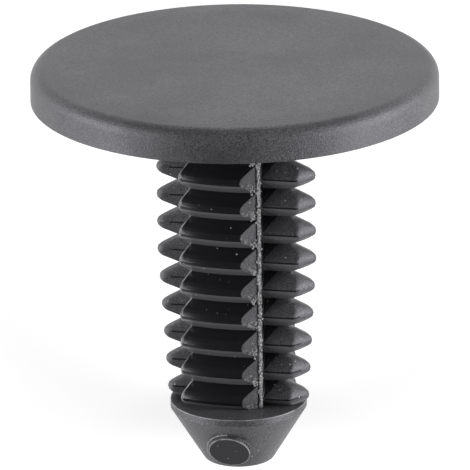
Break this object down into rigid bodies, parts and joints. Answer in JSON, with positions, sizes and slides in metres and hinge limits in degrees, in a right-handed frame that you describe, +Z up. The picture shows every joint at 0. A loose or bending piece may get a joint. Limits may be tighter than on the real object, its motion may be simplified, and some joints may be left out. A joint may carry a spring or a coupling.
{
  "type": "trim clip",
  "caption": "Push-in trim clip moulded in one piece: a wide thin round head, a straight shank of angular gripping fins and a blunt cone tip with a collar.",
  "frame": {"origin": "centre of the bounding box's bottom, in the plane that the clip lies on", "axes": "+Z up from that plane; the clip lies on its side along Y, its head towards +Y and its tip towards -Y, its own axis rising 22.6 degrees towards the head"},
  "size_m": [0.025, 0.0288, 0.0236],
  "materials": {
    "nylon": "black moulded nylon, finely spark-textured on the head and the fin sides, smooth on the front fins and the tip's end"
  },
  "bodies": {
    "root": {"trim_clip": "nylon"}
  },
  "joints": []
}
